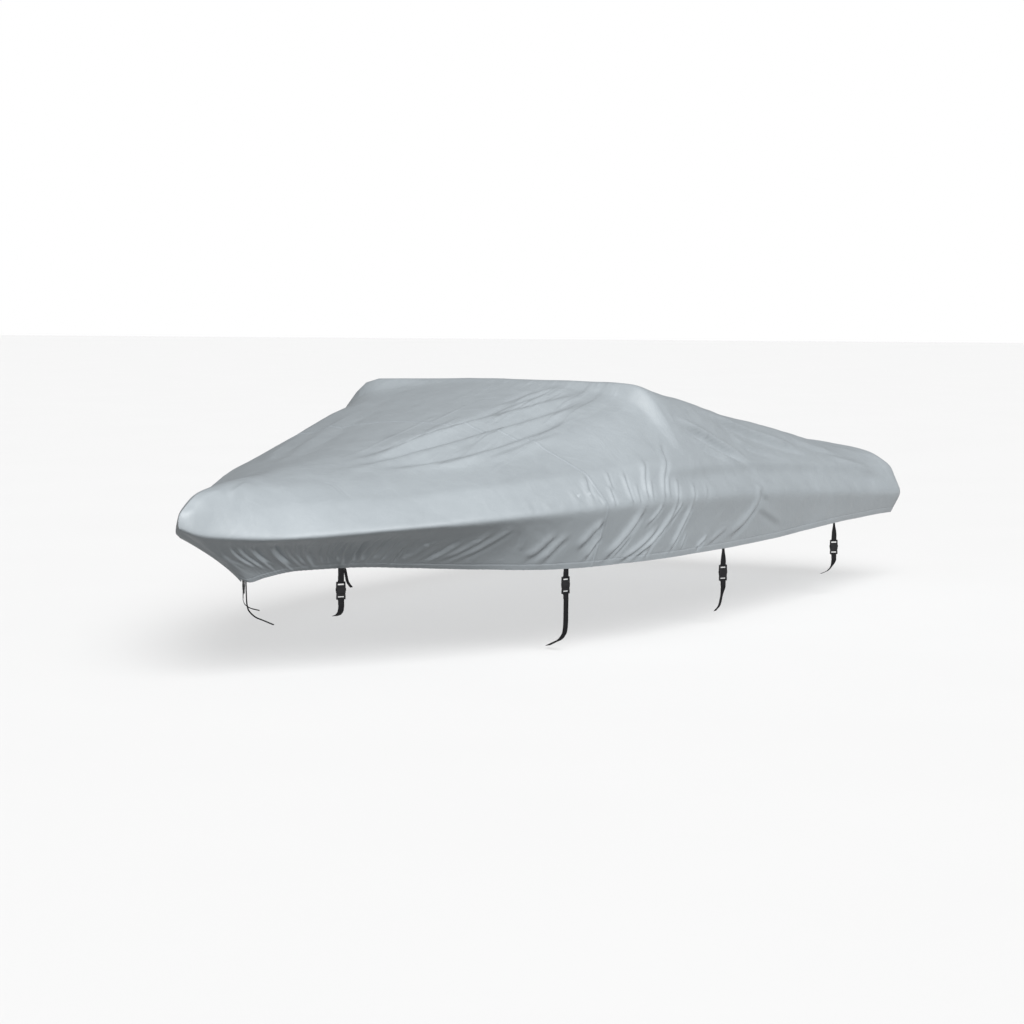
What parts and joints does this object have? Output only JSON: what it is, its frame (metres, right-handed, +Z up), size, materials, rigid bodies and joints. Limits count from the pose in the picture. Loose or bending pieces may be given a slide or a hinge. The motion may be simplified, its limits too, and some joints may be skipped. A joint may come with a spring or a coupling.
{
  "type": "boat cover",
  "caption": "Fitted cloth cover for a trailered runabout, tented over its windscreen, with a deep skirt, buckled hull straps and loose webbing tails.",
  "frame": {"origin": "the underside of the cloth at the middle of its highest crown, where the windscreen props it up", "axes": "-X towards the bow, +X towards the stern, -Y to port, +Y to starboard, +Z up"},
  "size_m": [4.9129, 2.1004, 1.0712],
  "materials": {
    "cloth": "blue-grey coated polyester with a soft satin sheen",
    "webbing": "black woven polypropylene webbing",
    "buckle": "black moulded acetal"
  },
  "bodies": {
    "root": {"fore_panel": "cloth", "aft_panel": "cloth", "port_bow_webbing": "webbing", "port_bow_socket": "buckle", "port_bow_plug": "buckle", "port_bow_tail": "webbing", "port_fore_webbing": "webbing", "port_fore_socket": "buckle", "port_fore_plug": "buckle", "port_fore_tail": "webbing", "port_mid_webbing": "webbing", "port_mid_socket": "buckle", "port_mid_plug": "buckle", "port_mid_tail": "webbing", "port_aft_webbing": "webbing", "port_aft_socket": "buckle", "port_aft_plug": "buckle", "port_aft_tail": "webbing", "starboard_bow_webbing": "webbing", "starboard_bow_socket": "buckle", "starboard_bow_plug": "buckle", "starboard_bow_tail": "webbing", "starboard_fore_webbing": "webbing", "starboard_fore_socket": "buckle", "starboard_fore_plug": "buckle", "starboard_fore_tail": "webbing", "starboard_mid_webbing": "webbing", "starboard_mid_socket": "buckle", "starboard_mid_plug": "buckle", "starboard_mid_tail": "webbing", "starboard_aft_webbing": "webbing", "starboard_aft_socket": "buckle", "starboard_aft_plug": "buckle", "starboard_aft_tail": "webbing"}
  },
  "joints": []
}
